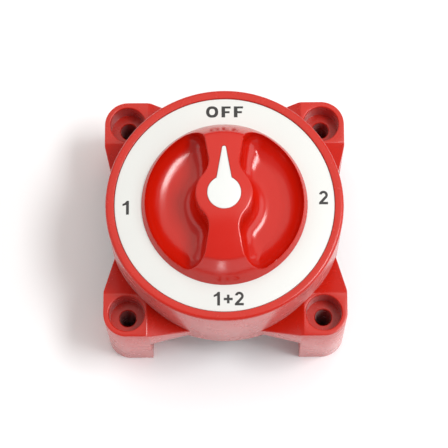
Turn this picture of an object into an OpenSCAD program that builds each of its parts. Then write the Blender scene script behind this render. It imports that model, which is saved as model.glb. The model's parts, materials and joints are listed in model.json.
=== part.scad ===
// Four-position battery selector switch: OFF, 1, 1+2 and 2.
// A round drum stands on four corner posts, with a rotary knob on top and three
// terminal studs underneath, in the space between the posts.
//
// Frame: the origin is the centre of the mounting plane, +Z points up through
// the knob and +Y points to the OFF mark. Lengths are millimetres.

/* [Body] */
// Overall width, across the outer faces of the corner posts
body_w = 98.4; // [97.6:0.2:100]
// Distance between neighbouring mounting screws
screw_pitch = 79.4; // [79:0.1:80]
// Radius of the round drum
drum_r = 47.5; // [47.2:0.1:47.8]
// Height of the drum's open underside above the mounting plane
drum_z = 25.5; // [25:0.5:27]
// Height of the bezel, the drum's top rim
bezel_z = 64.85; // [64.6:0.05:65.2]
// Height of the flat pads that carry the mounting screws
pad_z = 43.65; // [42:0.05:46]
// Height of the underside of the wings between pad and drum
wing_z = 28.2; // [27.5:0.1:29]
// Distance from the centre to the inner faces of the posts
post_in = 30.45; // [30.45:0.05:31]
// Distance from the centre to the folds where the flat pads end
pad_fold = 31.6; // [31.2:0.1:32.2]
// Radius of the mounting screw holes
screw_hole_r = 3.4; // [3.2:0.1:3.6]
// Radius of the counterbores over the mounting screws
counterbore_r = 7.25; // [6.5:0.05:7.3]
// Depth of those counterbores
counterbore_depth = 9.7; // [6:0.1:12]

/* [Legend ring] */
// Outer radius of the white ring
legend_r = 43.8; // [43:0.1:44]
// Inner radius of the white ring, under the knob's lip
legend_in_r = 32.4; // [32.4:0.1:32.7]
// Thickness of the white ring
legend_t = 1.0; // [0.6:0.1:1.5]

/* [Knob] */
// Radius of the knob's lip, which hides the inner edge of the white ring
knob_r = 33.1; // [32.8:0.1:33.4]
// Radius at which the domed top meets the steeper side
knob_top_r = 26; // [25.5:0.1:27]
// Height of the middle of the domed top above the mounting plane
knob_z = 82.7; // [81:0.1:85]
// Radius of the dome
dome_r = 84.5; // [80:0.5:120]
// Radius of the bulge of the knob's side
side_r = 78; // [60:1:120]
// Radius of the round boss in the middle of the grip bar
boss_r = 11.2; // [10.8:0.1:12]
// Half the width of the grip bar at its waist
waist_half = 6.0; // [5.6:0.1:6.4]
// Distance from the centre to that waist
waist_y = 13.5; // [13:0.1:14]
// Outer radius of the two finger scoops
scoop_r = 31.5; // [31:0.1:31.7]
// Radius of the scoops' four end corners
scoop_corner_r = 6.0; // [5:0.1:6.5]
// Distance from the centre line to the centres of those corners
scoop_corner_y = 21.7; // [21:0.1:22.5]
// Height of the scoops' floor above the mounting plane
scoop_z = 62; // [61.5:0.1:64]
// Radius between the scoops' floor and their outer wall
bowl_r = 8; // [4:0.1:9]

/* [Pointer] */
// Radius of the pointer's disc
pointer_r = 6.6; // [6:0.1:7]
// Distance from the centre to the end of the blade
pointer_len = 19.5; // [17:0.1:21]
// Half the width of the blade where it leaves the disc
pointer_half = 3.3; // [2.5:0.1:3.6]
// Radius of the rounded tip
pointer_tip_r = 0.8; // [0.5:0.1:1.2]

/* [Terminals] */
// Radius of the 3/8 inch terminal studs
stud_r = 4.76; // [4:0.01:5]
// Distance from the centre to each stud
stud_pitch_r = 24.5; // [24:0.1:25]
// Height of the studs' free ends above the mounting plane
stud_end_z = 3.5; // [2:0.1:6]
// Thickness of the fixed copper contacts
contact_t = 3; // [2:0.1:3]

/* [Hidden] */
$fn = 96;
half_w = body_w / 2;
screw_at = screw_pitch / 2;
corner_r = half_w - screw_at;      // outer corners are concentric with the screws
edge_r = 1.2;                      // rounding of the bezel's outer edge
eps = 0.1;                         // how far a cut passes the face it opens

// The wings between pad and drum end inside the drum wall, on these tips.
wing_tip = [12, 44.7];
wing_tip_z = 33.1;
wing_root_y = 33;
ear_trim_r = 45;                   // the ears stop here, within the drum wall

// Heights and radii inside the drum, from the bottom up.
plate_t = 4;
plate_top = drum_z + plate_t;
gasket_t = 0.8;
rebate_z = plate_top + gasket_t;
rebate_r = 43;
cavity_r = 40.8;
deck_under = 54;
deck_top = 57.5;
bore_r = 6.05;
well_r = 32.3;
skirt_r = 31.9;
recess_r = legend_r + 0.2;
legend_z = bezel_z - 0.45;
recess_z = legend_z - legend_t;

// Screws that hold the base plate, and the bosses they bite into.
boss_at = 37.8;
boss_outer_r = 3.4;
base_screw_r = 1.5;
base_screw_z = 40;
base_head_r = 3.1;
base_head_h = 1.8;

// Rotor: the shaft, what it carries, and the running clearance.
clear = 0.05;
shaft_r = bore_r - clear;
square_w = 8.4;
pivot_r = 4;
pivot_z = plate_top - 3;
square_z = 33;
shoulder_z = 53.3;
knob_under = 58;
shaft_top = 69.9;
clip_r = 5;
clip_outer_r = 8.5;
clip_t = 1;
clip_at = [43.05, 46.4];
o_ring_z = 55.8;
o_ring_section_r = 0.7;
wheel_z = 47.45;
wheel_r = 16;
notch_r = 16.4;                    // distance from the axis to each notch's centre
notch_w = 4;

// Contact plates: battery 1, battery 2 and common, by direction of their stud.
battery_1 = 225;
battery_2 = 315;
common = 90;
stud_angles = [battery_1, battery_2, common];
contact_z = plate_top;
slide_z = contact_z + contact_t;
pad_in_r = 17;
lobe_r = 31;
ring_r = 15;
ring_in_r = 8.5;
moving_in_r = 7.5;
tongue_half = 8;                   // half the width of the common contact's tongue
pad_half_angle = 25;
lobe_half_angle = 60;
moving_t = 2.5;
moving_z = slide_z + clear;
spigot_r = 4;
collar_r = 7.5;
collar_h = 3;

// Carrier over the moving contact, its drive pegs and its spring pockets.
carrier_z = 36.5;
carrier_t = 4.5;
carrier_hub_z = 43;
pegs = [[14, 17], [-14, 17]];
peg_r = 2;
springs = [[0, 23], [9, -7.5], [-9, -7.5]];
pocket_r = 3.5;
spring_top = 39.5;
spring_mean_r = 2.6;
wire_r = 0.45;
spring_turns = 3.5;

// Leaf springs of the detent, on posts under the deck.
leaf_posts = [22, 20.5];
leaf_post_r = 2.2;
leaf_post_z = 47.9;
leaf_t = 0.8;
leaf_h = 4;
leaf_path = [[-22, 20.5], [-2.6, 16.9], [-0.6, 14.9], [0.6, 14.9], [2.6, 16.9], [22, 20.5]];
leaf_screw_r = 1.05;
leaf_screw_len = 3.5;
leaf_head_r = 3;
leaf_head_h = 1.6;

// Terminal hardware under the base plate, from the top down.
flat_washer_r = 10;
flat_washer_t = 1.6;
lock_washer_r = 8.4;
lock_washer_t = 2.3;
lock_washer_split = 1.5;
nut_h = 8.3;
nut_af = 14.3;
nut_z = drum_z - flat_washer_t - lock_washer_t - nut_h;
thread_bore_r = stud_r + clear;
relief_h = 0.8;                    // groove that ends each stud's free thread, under its nut
relief_r = stud_r - 0.3;

// Knob screw and pointer.
pointer_t = 1.3;
pointer_drop = 0.1;                // the pointer lies this far below the dome
pointer_gap = 0.12;
web_z = 73;                        // top of the web that the knob screw clamps
knob_pocket_r = 5.3;               // pocket for the knob screw's head
knob_screw_r = 2.5;
knob_screw_len = 8;                // how far the screw reaches into the shaft
knob_screw_head_r = 4.5;
knob_screw_head_h = 3;
washer_r = 4.9;
washer_t = 1;
lip_z = legend_z + 0.1;            // underside of the knob's lip
core_y = [13.5, 22.5];
core_w = 6.4;

// Points of an arc about centre c, from angle a0 to a1.
function arc(c, r, a0, a1, n = 8) =
    [for (i = [0:n]) c + r * [cos(a0 + (a1 - a0) * i / n), sin(a0 + (a1 - a0) * i / n)]];
function on_circle(r, a) = [r * cos(a), r * sin(a)];
function flip_y(points) = [for (i = [len(points) - 1:-1:0]) [points[i][0], -points[i][1]]];
function up(points, dy) = [for (p = points) p + [0, dy]];
function backwards(points) = [for (i = [len(points) - 1:-1:0]) points[i]];

module at_studs() {
    for (a = stud_angles) translate(on_circle(stud_pitch_r, a)) children();
}
module at_base_screws() {
    for (a = [0:90:270]) rotate(a) translate([boss_at, 0, 0]) children();
}
module at_leaf_posts() {
    for (x = [-1, 1], y = [-1, 1])
        translate([x * leaf_posts[0], y * leaf_posts[1], 0]) children();
}
module four_ways() {
    for (a = [0:90:270]) rotate(a) children();
}
module ring(outer, inner, h, z = 0) {
    translate([0, 0, z]) difference() {
        cylinder(r = outer, h = h);
        translate([0, 0, -eps]) cylinder(r = inner, h = h + 2 * eps);
    }
}
module post_2d(width) {
    square([width, width], center = true);
}
// A pie slice about direction a, out to radius r.
module slice(a, half, r) {
    intersection() {
        circle(r);
        polygon([[0, 0], on_circle(3 * r, a - half), on_circle(3 * r, a), on_circle(3 * r, a + half)]);
    }
}

// ---- Fixed body -------------------------------------------------------------

// Corner square from `inner` to the outer faces, with its outer corner rounded.
module corner_2d(inner) {
    c = half_w - corner_r;
    polygon(concat([[inner, inner], [half_w, inner]],
                   arc([c, c], corner_r, 0, 90, 12),
                   [[inner, half_w]]));
}
// Sloping wing from the pad down to the drum, for the ear in the +X +Y corner.
module wing() {
    intersection() {
        linear_extrude(pad_z)
            polygon([[wing_tip[0], wing_root_y], [pad_fold, wing_root_y],
                     [pad_fold, half_w], wing_tip]);
        translate([0, half_w, 0]) rotate([90, 0, 0]) linear_extrude(half_w)
            polygon([[wing_tip[0], wing_z], [pad_fold, wing_z],
                     [pad_fold, pad_z], [wing_tip[0], wing_tip_z]]);
    }
}
module ear() {
    difference() {
        union() {
            linear_extrude(wing_z) corner_2d(post_in);
            translate([0, 0, wing_z]) linear_extrude(pad_z - wing_z) corner_2d(pad_fold);
            wing();
            mirror([1, -1, 0]) wing();
        }
        translate([0, 0, drum_z]) cylinder(r = ear_trim_r, h = pad_z);
        translate([screw_at, screw_at, -eps]) cylinder(r = screw_hole_r, h = pad_z);
        translate([screw_at, screw_at, pad_z - counterbore_depth])
            cylinder(r = counterbore_r, h = counterbore_depth + eps);
    }
}
module drum() {
    rotate_extrude()
        polygon(concat(
            [[rebate_r, drum_z], [drum_r, drum_z]],
            arc([drum_r - edge_r, bezel_z - edge_r], edge_r, 0, 90, 4),
            [[recess_r, bezel_z], [recess_r, recess_z], [well_r, recess_z],
             [well_r, deck_top], [bore_r, deck_top], [bore_r, deck_under],
             [cavity_r, deck_under], [cavity_r, rebate_z], [rebate_r, rebate_z]]));
}
module housing() {
    color("crimson") {
        difference() {
            union() {
                drum();
                four_ways() ear();
                at_base_screws() translate([0, 0, rebate_z])
                    cylinder(r = boss_outer_r, h = deck_under - rebate_z + 1);
                at_leaf_posts() translate([0, 0, leaf_post_z])
                    cylinder(r = leaf_post_r, h = deck_under - leaf_post_z + 1);
            }
            at_base_screws() translate([0, 0, rebate_z - eps])
                cylinder(r = base_screw_r, h = base_screw_z - rebate_z + 1);
            at_leaf_posts() translate([0, 0, leaf_post_z - eps])
                cylinder(r = leaf_screw_r + clear, h = leaf_screw_len + 0.5);
        }
    }
}
module legend_ring() {
    color("ghostwhite") ring(legend_r, legend_in_r, legend_t, recess_z);
}
module base_plate() {
    color("dimgray") difference() {
        translate([0, 0, drum_z]) cylinder(r = rebate_r - 0.1, h = plate_t);
        at_studs() {
            translate([0, 0, drum_z - eps]) cylinder(r = thread_bore_r, h = plate_t);
            translate([0, 0, plate_top - collar_h]) cylinder(r = collar_r, h = plate_t, $fn = 6);
        }
        translate([0, 0, pivot_z]) cylinder(r = pivot_r + clear, h = plate_t);
        at_base_screws() {
            translate([0, 0, drum_z - eps]) cylinder(r = base_screw_r + 0.2, h = plate_t + 1);
            translate([0, 0, drum_z - eps]) cylinder(r = base_head_r + 0.2, h = base_head_h + eps);
        }
    }
}
module base_gasket() {
    color("black") ring(rebate_r - 0.1, cavity_r + 0.1, gasket_t, plate_top);
}
module base_screws() {
    color("silver") at_base_screws() difference() {
        union() {
            translate([0, 0, drum_z]) cylinder(r = base_head_r, h = base_head_h);
            translate([0, 0, drum_z + base_head_h - eps])
                cylinder(r = base_screw_r, h = base_screw_z - drum_z - base_head_h);
        }
        cross_recess(drum_z, 1);
    }
}
// Cross-shaped driver recess, cut upwards from z by depth.
module cross_recess(z, depth) {
    for (a = [0, 90]) rotate(a)
        translate([-1.6, -0.35, z - eps]) cube([3.2, 0.7, depth + eps]);
}
module terminal_contact(a) {
    color("peru") translate([0, 0, contact_z]) difference() {
        linear_extrude(contact_t) difference() {
            slice(a, pad_half_angle, lobe_r);
            circle(pad_in_r);
        }
        translate(on_circle(stud_pitch_r, a)) translate([0, 0, -eps])
            cylinder(r = spigot_r + clear, h = contact_t + 2 * eps);
    }
}
module contact_battery_1() {
    terminal_contact(battery_1);
}
module contact_battery_2() {
    terminal_contact(battery_2);
}
// Ring that the moving contact always touches, with a tongue out to its stud.
module contact_common() {
    color("peru") translate([0, 0, contact_z]) difference() {
        linear_extrude(contact_t) union() {
            circle(ring_r);
            translate([-tongue_half, 0]) square([2 * tongue_half, stud_pitch_r]);
            translate(on_circle(stud_pitch_r, common)) circle(tongue_half);
        }
        translate([0, 0, -eps]) cylinder(r = ring_in_r, h = contact_t + 2 * eps);
        translate(on_circle(stud_pitch_r, common)) translate([0, 0, -eps])
            cylinder(r = spigot_r + clear, h = contact_t + 2 * eps);
    }
}
// Stud with a chamfered end, a relief groove under the nut, a hexagonal collar
// set in the base plate and a spigot swaged into its contact.
module terminal_stud(a) {
    chamfer = 0.8;
    collar_z = plate_top - collar_h;
    color("goldenrod") translate(on_circle(stud_pitch_r, a)) {
        rotate_extrude()
            polygon([[0, stud_end_z], [stud_r - chamfer, stud_end_z],
                     [stud_r, stud_end_z + chamfer], [stud_r, nut_z - relief_h],
                     [relief_r, nut_z - relief_h], [relief_r, nut_z], [stud_r, nut_z],
                     [stud_r, collar_z + 1], [spigot_r, collar_z + 1],
                     [spigot_r, slide_z - 0.1], [0, slide_z - 0.1]]);
        translate([0, 0, collar_z]) cylinder(r = collar_r - clear, h = collar_h, $fn = 6);
    }
}
module stud_battery_1() {
    terminal_stud(battery_1);
}
module stud_battery_2() {
    terminal_stud(battery_2);
}
module stud_common() {
    terminal_stud(common);
}
module flat_washers() {
    color("silver") at_studs()
        ring(flat_washer_r, thread_bore_r + 0.2, flat_washer_t, drum_z - flat_washer_t);
}
module lock_washers() {
    color("lightgray") at_studs() translate([0, 0, nut_z + nut_h]) difference() {
        ring(lock_washer_r, thread_bore_r + 0.15, lock_washer_t);
        translate([0, -lock_washer_split / 2, -eps])
            cube([lock_washer_r + 1, lock_washer_split, lock_washer_t + 2 * eps]);
    }
}
module hex_nuts() {
    color("silver") at_studs() translate([0, 0, nut_z]) difference() {
        cylinder(r = nut_af / 2 / cos(30), h = nut_h, $fn = 6);
        translate([0, 0, -eps]) cylinder(r = thread_bore_r, h = nut_h + 2 * eps);
    }
}
// Two bent leaf springs, whose noses rest in opposite notches of the wheel.
module detent_springs() {
    color("lightsteelblue") for (turn = [0, 180]) rotate(turn)
        translate([0, 0, leaf_post_z + 0.1]) difference() {
            linear_extrude(leaf_h) union() {
                polygon(concat(up(leaf_path, leaf_t / 2), backwards(up(leaf_path, -leaf_t / 2))));
                for (x = [-1, 1]) translate([x * leaf_posts[0], leaf_posts[1]])
                    circle(leaf_post_r + 0.9);
            }
            for (x = [-1, 1]) translate([x * leaf_posts[0], leaf_posts[1], -eps])
                cylinder(r = leaf_post_r + 0.1, h = leaf_h + 2 * eps);
        }
}
module leaf_screws() {
    color("silver") at_leaf_posts() difference() {
        union() {
            translate([0, 0, leaf_post_z - leaf_head_h]) cylinder(r = leaf_head_r, h = leaf_head_h);
            translate([0, 0, leaf_post_z - eps]) cylinder(r = leaf_screw_r, h = leaf_screw_len);
        }
        cross_recess(leaf_post_z - leaf_head_h, leaf_head_h / 2);
    }
}
module thrust_washer() {
    color("ivory") ring(14, shaft_r + 0.3, knob_under - deck_top - clear, deck_top);
}

// ---- Rotor ------------------------------------------------------------------

// Everything within `inset` of the knob's dome.
module under_dome(inset = 0) {
    translate([0, 0, knob_z - dome_r]) sphere(r = dome_r - inset, $fn = 180);
}
// Outline of the pointer, grown by `gap` for the recess that holds it.
module pointer_2d(gap = 0) {
    tip_y = pointer_len - pointer_tip_r;
    circle(pointer_r + gap);
    translate([0, tip_y]) circle(pointer_tip_r + gap);
    polygon([[-pointer_half - gap, pointer_r * 0.6], [pointer_half + gap, pointer_r * 0.6],
             [pointer_tip_r + gap, tip_y], [-pointer_tip_r - gap, tip_y]]);
}
// Plan of one finger scoop, on the +X side: it follows the boss, the neck beside
// it and the bar's flank, and opens outwards past the scoop's own radius.
module scoop_2d() {
    neck_r = (pow(waist_half, 2) + pow(waist_y, 2) - pow(boss_r, 2)) / (2 * (boss_r - waist_half));
    neck = [waist_half + neck_r, waist_y];
    corner = [sqrt(pow(scoop_r - scoop_corner_r, 2) - pow(scoop_corner_y, 2)), scoop_corner_y];
    boss_angle = atan2(neck[1], neck[0]);
    corner_angle = atan2(corner[1], corner[0]);
    // Direction of the straight flank that touches both the neck and the corner.
    flank = 180 - asin((neck_r - scoop_corner_r) / norm(corner - neck))
            + atan2(neck[0] - corner[0], corner[1] - neck[1]);
    side = concat(arc([0, 0], boss_r, 0, boss_angle, 6),
                  arc(neck, neck_r, 180 + boss_angle, flank, 6),
                  arc(corner, scoop_corner_r, flank, corner_angle, 8),
                  [on_circle(scoop_r + 4, corner_angle)]);
    polygon(concat(side, [[scoop_r + 20, 0]], flip_y(side)));
}
module scoop() {
    intersection() {
        linear_extrude(knob_z + 10) scoop_2d();
        rotate_extrude()
            polygon(concat([[0, scoop_z]],
                           arc([scoop_r - bowl_r, scoop_z + bowl_r], bowl_r, 270, 360, 5),
                           [[scoop_r, knob_z + 5], [0, knob_z + 5]]));
    }
}
// Stepped skirt in the well, lip over the white ring, bulging side and domed top.
module knob_blank() {
    top = [knob_top_r, knob_z - dome_r + sqrt(pow(dome_r, 2) - pow(knob_top_r, 2))];
    bottom = [knob_r, lip_z];
    chord = top - bottom;
    inward = [-chord[1], chord[0]] / norm(chord);
    centre = (top + bottom) / 2 + inward * sqrt(pow(side_r, 2) - pow(norm(chord) / 2, 2));
    first = atan2(bottom[1] - centre[1], bottom[0] - centre[0]);
    last = atan2(top[1] - centre[1], top[0] - centre[0]);
    intersection() {
        rotate_extrude()
            polygon(concat([[0, knob_under], [skirt_r, knob_under], [skirt_r, lip_z]],
                           arc(centre, side_r, first, last, 6),
                           [[top[0], knob_z + 1], [0, knob_z + 1]]));
        under_dome();
    }
}
module knob() {
    color("red") difference() {
        knob_blank();
        scoop();
        rotate(180) scoop();
        difference() {
            translate([0, 0, web_z]) linear_extrude(knob_z - web_z + 1) pointer_2d(pointer_gap);
            under_dome(pointer_drop + pointer_t);
        }
        translate([0, 0, web_z]) cylinder(r = knob_pocket_r, h = knob_z - web_z);
        translate([0, 0, shaft_top - 1]) cylinder(r = knob_screw_r + 0.2, h = web_z - shaft_top + 2);
        translate([0, 0, knob_under - eps])
            linear_extrude(shaft_top - knob_under + 2 * eps) post_2d(square_w + 2 * clear);
        for (s = [-1, 1]) translate([-core_w / 2, s > 0 ? core_y[0] : -core_y[1], knob_under - eps])
            cube([core_w, core_y[1] - core_y[0], knob_z - knob_under - 5]);
    }
}
module pointer() {
    color("white") intersection() {
        translate([0, 0, web_z]) linear_extrude(knob_z - web_z) pointer_2d();
        difference() {
            under_dome(pointer_drop);
            under_dome(pointer_drop + pointer_t);
        }
    }
}
module knob_washer() {
    color("lightgray") ring(washer_r, knob_screw_r + 0.1, washer_t, web_z);
}
module knob_screw() {
    head_z = web_z + washer_t;
    color("silver") difference() {
        union() {
            translate([0, 0, shaft_top - knob_screw_len])
                cylinder(r = knob_screw_r, h = head_z - shaft_top + knob_screw_len + eps);
            translate([0, 0, head_z]) cylinder(r = knob_screw_head_r, h = knob_screw_head_h);
        }
        for (a = [0, 90]) rotate(a)
            translate([-2.2, -0.5, head_z + knob_screw_head_h / 2]) cube([4.4, 1, knob_screw_head_h]);
    }
}
module shaft() {
    color("slategray") difference() {
        union() {
            translate([0, 0, pivot_z + 0.2]) cylinder(r = pivot_r, h = square_z - pivot_z);
            translate([0, 0, square_z])
                linear_extrude(shaft_top - square_z) post_2d(square_w);
            translate([0, 0, shoulder_z]) cylinder(r = shaft_r, h = knob_under - shoulder_z);
        }
        for (z = clip_at) ring(shaft_r + 1, clip_r, clip_t + 0.1, z - 0.05);
        ring(shaft_r + 1, shaft_r - 2 * o_ring_section_r, 1.6, o_ring_z - 0.8);
        translate([0, 0, shaft_top - knob_screw_len - 1])
            cylinder(r = knob_screw_r + clear, h = knob_screw_len + 2);
    }
}
module shaft_o_ring() {
    color("black") rotate_extrude()
        translate([shaft_r - o_ring_section_r, o_ring_z]) circle(o_ring_section_r);
}
module retaining_clips() {
    color("silver") for (z = clip_at) translate([0, 0, z]) difference() {
        ring(clip_outer_r, clip_r, clip_t);
        translate([0, 0, -eps]) linear_extrude(clip_t + 2 * eps)
            polygon([[0, 0], on_circle(20, -30), on_circle(20, 30)]);
    }
}
module detent_wheel() {
    color("white") translate([0, 0, wheel_z]) linear_extrude(shoulder_z - wheel_z) difference() {
        circle(wheel_r);
        post_2d(square_w + 2 * clear);
        for (a = [0:90:270]) rotate(a) translate([notch_r, 0]) rotate(45) post_2d(notch_w);
    }
}
module contact_carrier() {
    color("darkslategray") difference() {
        union() {
            translate([0, 0, carrier_z]) linear_extrude(carrier_t) union() {
                circle(ring_r + 1);
                slice(common, lobe_half_angle, lobe_r);
            }
            translate([0, 0, carrier_z]) cylinder(r = 10, h = carrier_hub_z - carrier_z);
            for (p = pegs) translate([p[0], p[1], slide_z + 0.5])
                cylinder(r = peg_r, h = carrier_z - slide_z);
        }
        translate([0, 0, carrier_z - eps]) linear_extrude(10) post_2d(square_w + 2 * clear);
        for (p = springs) translate([p[0], p[1], carrier_z - eps])
            cylinder(r = pocket_r, h = spring_top - carrier_z + eps);
    }
}
module moving_contact() {
    color("peru") translate([0, 0, moving_z]) linear_extrude(moving_t) difference() {
        union() {
            circle(ring_r);
            slice(common, lobe_half_angle, lobe_r);
        }
        circle(moving_in_r);
        for (p = pegs) translate(p) circle(peg_r + 0.2);
    }
}
// Round wire on a helix about Z, from z0 to z1, with six-sided wire.
module coil(z0, z1, mean_r, wire, turns) {
    sides = 6;
    steps = ceil(turns * 14);
    points = [for (i = [0:steps], k = [0:sides - 1])
        let (a = 360 * turns * i / steps, b = 360 * k / sides, r = mean_r + wire * cos(b))
        [r * cos(a), r * sin(a), z0 + wire + (z1 - z0 - 2 * wire) * i / steps + wire * sin(b)]];
    skin = [for (i = [0:steps - 1], k = [0:sides - 1])
        let (p = i * sides, q = p + sides, n = (k + 1) % sides)
        [p + k, p + n, q + n, q + k]];
    first = [for (k = [sides - 1:-1:0]) k];
    last = [for (k = [0:sides - 1]) steps * sides + k];
    polyhedron(points, concat(skin, [first, last]));
}
module contact_springs() {
    color("lightsteelblue") for (p = springs) translate([p[0], p[1], 0])
        coil(moving_z + moving_t, spring_top, spring_mean_r, wire_r, spring_turns);
}

housing();
legend_ring();
base_plate();
base_gasket();
base_screws();
contact_battery_1();
contact_battery_2();
contact_common();
stud_battery_1();
stud_battery_2();
stud_common();
flat_washers();
lock_washers();
hex_nuts();
detent_springs();
leaf_screws();
thrust_washer();
knob();
pointer();
knob_washer();
knob_screw();
shaft();
shaft_o_ring();
retaining_clips();
detent_wheel();
contact_carrier();
moving_contact();
contact_springs();
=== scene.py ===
"""Four-position battery selector switch: looks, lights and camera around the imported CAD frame.

Shapes are worked out in millimetres, in the frame of the CAD model: +Z up through the knob, +Y to the
OFF mark, origin at the centre of the mounting plane. They are scaled to metres when a piece is made.
"""

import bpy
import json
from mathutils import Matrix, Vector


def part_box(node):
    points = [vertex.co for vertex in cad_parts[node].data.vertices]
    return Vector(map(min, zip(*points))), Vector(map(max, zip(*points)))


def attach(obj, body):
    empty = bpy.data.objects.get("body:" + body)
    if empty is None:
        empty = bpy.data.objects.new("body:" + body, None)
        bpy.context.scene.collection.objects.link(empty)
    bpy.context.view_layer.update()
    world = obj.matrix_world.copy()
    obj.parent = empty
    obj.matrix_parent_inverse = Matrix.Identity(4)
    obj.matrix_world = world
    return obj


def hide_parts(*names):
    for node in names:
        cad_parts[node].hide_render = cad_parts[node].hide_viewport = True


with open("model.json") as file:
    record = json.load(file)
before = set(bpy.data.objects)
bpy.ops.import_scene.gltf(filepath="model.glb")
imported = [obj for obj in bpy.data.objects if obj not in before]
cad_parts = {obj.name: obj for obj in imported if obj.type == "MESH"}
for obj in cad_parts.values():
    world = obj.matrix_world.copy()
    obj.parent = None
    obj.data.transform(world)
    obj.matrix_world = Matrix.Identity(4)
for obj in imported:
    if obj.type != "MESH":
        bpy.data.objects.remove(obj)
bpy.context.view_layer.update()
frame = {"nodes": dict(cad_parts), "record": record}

import json
import math

import bmesh
import bpy
import numpy as np
from mathutils import Matrix, Vector

MM = 0.001
FIXED, ROTOR = "switch_body", "rotor"
AROUND, AROUND_SMALL = 192, 96         # segments of big and small round shapes
MERGE_GAP = 2e-4                       # millimetres; points of a finished piece closer than this merge
WHITE = (1, 1, 1)
scene = bpy.context.scene


def low_high(node):
    """Lowest and highest corners of a CAD node, in millimetres."""
    low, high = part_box(node)
    return low / MM, high / MM


# ---- Driving dimensions, from the frame where it has them ----------------------------------------

_, BODY_HIGH = low_high("housing")
RING_LOW, RING_HIGH = low_high("legend_ring")
KNOB_LOW, KNOB_HIGH = low_high("knob")
PLATE_LOW, PLATE_HIGH = low_high("base_plate")
_, GASKET_HIGH = low_high("base_gasket")
_, POINTER_HIGH = low_high("pointer")

HALF_W = BODY_HIGH.x                   # half the width over the corner posts
BEZEL_Z = BODY_HIGH.z
DRUM_Z = PLATE_LOW.z                   # open underside of the drum
DRUM_R, BEZEL_EDGE_R = 47.5, 1.2       # drum, and the rounding of the bezel's outer edge
RECESS_R, RECESS_Z = RING_HIGH.x + 0.2, RING_LOW.z
WELL_R, DECK_TOP, DECK_UNDER, BORE_R = 32.3, 57.5, 54.0, 6.05
CAVITY_R, REBATE_R, REBATE_Z = 40.8, 43.0, GASKET_HIGH.z
BOSS_AT, BOSS_OUTER_R, BOSS_HOLE_R, BOSS_HOLE_Z = 37.8, 3.4, 1.5, 41.0
LEAF_POSTS, LEAF_POST_R, LEAF_POST_Z = (22.0, 20.5), 2.2, 47.9

SCREW_AT = 39.7                        # mounting screws, from the centre along X and Y
POST_R = HALF_W - SCREW_AT
POST_IN, PAD_FOLD, PAD_Z = 30.45, 31.6, 43.65
WING_Z, WING_TIP, WING_TIP_Z = 28.2, (12.0, 44.7), 33.1
WING_ROOT = [(12.0, 44.0), (24.0, 37.5)]    # inner edge of a wing, inside the drum's wall
COUNTERBORE_R, COUNTERBORE_DEPTH, SCREW_HOLE_R = 7.25, 9.7, 3.4

KNOB_R, KNOB_Z, KNOB_UNDER = KNOB_HIGH.x, KNOB_HIGH.z, KNOB_LOW.z
RING_Z = RING_HIGH.z
LIP_Z = RING_Z + 0.1                   # underside of the knob's lip
TOP_R = 26.0                           # crease between the knob's domed top and its side
DOME_R, SIDE_R, SKIRT_R = 84.5, 78.0, 31.9


# ---- Camera --------------------------------------------------------------------------------------

CAMERA_AIM = Vector((-0.45, 0.88, 30.0))
CAMERA_DISTANCE = 900.0
CAMERA_ELEVATION, CAMERA_AZIMUTH, CAMERA_ROLL = (math.radians(a) for a in (75.15, 1.39, -1.70))
CAMERA_LENS, CAMERA_SENSOR = 175.06, 36


def make_camera():
    el, az, roll = CAMERA_ELEVATION, CAMERA_AZIMUTH, CAMERA_ROLL
    back = Vector((math.sin(az) * math.cos(el), -math.cos(az) * math.cos(el), math.sin(el)))
    level_right = Vector((math.cos(az), math.sin(az), 0))
    level_up = back.cross(level_right)
    right = level_right * math.cos(roll) + level_up * math.sin(roll)
    up = level_up * math.cos(roll) - level_right * math.sin(roll)
    data = bpy.data.cameras.new("camera")
    data.lens = CAMERA_LENS
    data.sensor_width = CAMERA_SENSOR
    data.clip_end = 20
    camera = bpy.data.objects.new("camera", data)
    place = (CAMERA_AIM + back * CAMERA_DISTANCE) * MM
    camera.matrix_world = Matrix.Translation(place) @ Matrix((right, up, back)).transposed().to_4x4()
    scene.collection.objects.link(camera)
    scene.camera = camera


# ---- Stage and lights ----------------------------------------------------------------------------

OBJECT_MIDDLE = Vector((0, 0, 60))
FLOOR_HALF = 3000
FLOOR_COLOUR, FLOOR_ROUGHNESS = (0.955, 0.965, 0.98), 0.7
SURROUND = 0.42                        # even light from all round
WARM = (1, 0.94, 0.84)
SOFTBOXES = [
    # name, azimuth, elevation, distance, (width, height), radiance, colour
    ("north_softbox", 93, 62, 1500, (2000, 1500), 0.88, WARM),
    ("key_softbox", -4, 65, 1300, (460, 320), 19.0, WHITE),
    ("east_softbox", -6, 32, 1500, (1800, 800), 1.6, WHITE),
    ("west_softbox", 180, 24, 1500, (1800, 600), 0.9, WHITE),
    ("south_softbox", 270, 14, 1500, (2200, 500), 0.2, WHITE),
    ("south_panel", 266.7, -10, 244, (26, 26), 7.5, WHITE),
]


def softbox(name, azimuth, elevation, distance, size, radiance, colour):
    """Rectangular softbox that faces the object. Azimuth is anticlockwise from +X, in degrees."""
    az, el = math.radians(azimuth), math.radians(elevation)
    towards = Vector((math.cos(az) * math.cos(el), math.sin(az) * math.cos(el), math.sin(el)))
    data = bpy.data.lights.new(name, "AREA")
    data.shape = "RECTANGLE"
    data.size, data.size_y = size[0] * MM, size[1] * MM
    data.color = colour
    data.energy = radiance * math.pi * data.size * data.size_y
    light = bpy.data.objects.new(name, data)
    light.location = (OBJECT_MIDDLE + towards * distance) * MM
    light.rotation_euler = towards.to_track_quat("Z", "Y").to_euler()
    light.visible_camera = False
    scene.collection.objects.link(light)


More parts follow.
